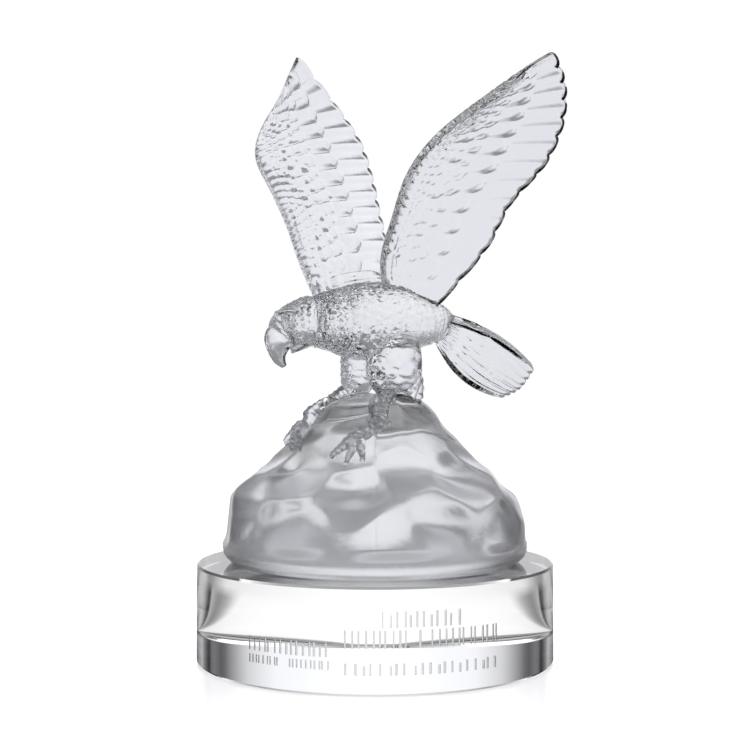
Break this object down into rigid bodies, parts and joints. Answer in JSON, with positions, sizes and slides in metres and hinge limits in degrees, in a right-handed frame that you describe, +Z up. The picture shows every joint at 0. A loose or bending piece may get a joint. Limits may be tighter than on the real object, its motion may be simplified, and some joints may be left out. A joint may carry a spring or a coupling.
{
  "type": "eagle_award",
  "caption": "Clear crystal award: an eagle with raised wings landing on a chipped rock, moulded in one and bonded to a thick round base.",
  "frame": {"origin": "centre of the base's underside", "axes": "+Z is up; -Y faces the onlooker; the eagle's head is at -X and its tail at +X"},
  "size_m": [0.1449, 0.14, 0.243],
  "materials": {
    "moulded_crystal": "glossy",
    "polished_crystal": "glossy"
  },
  "bodies": {
    "root": {"eagle_on_rock": "moulded_crystal", "crystal_base": "polished_crystal"}
  },
  "joints": []
}
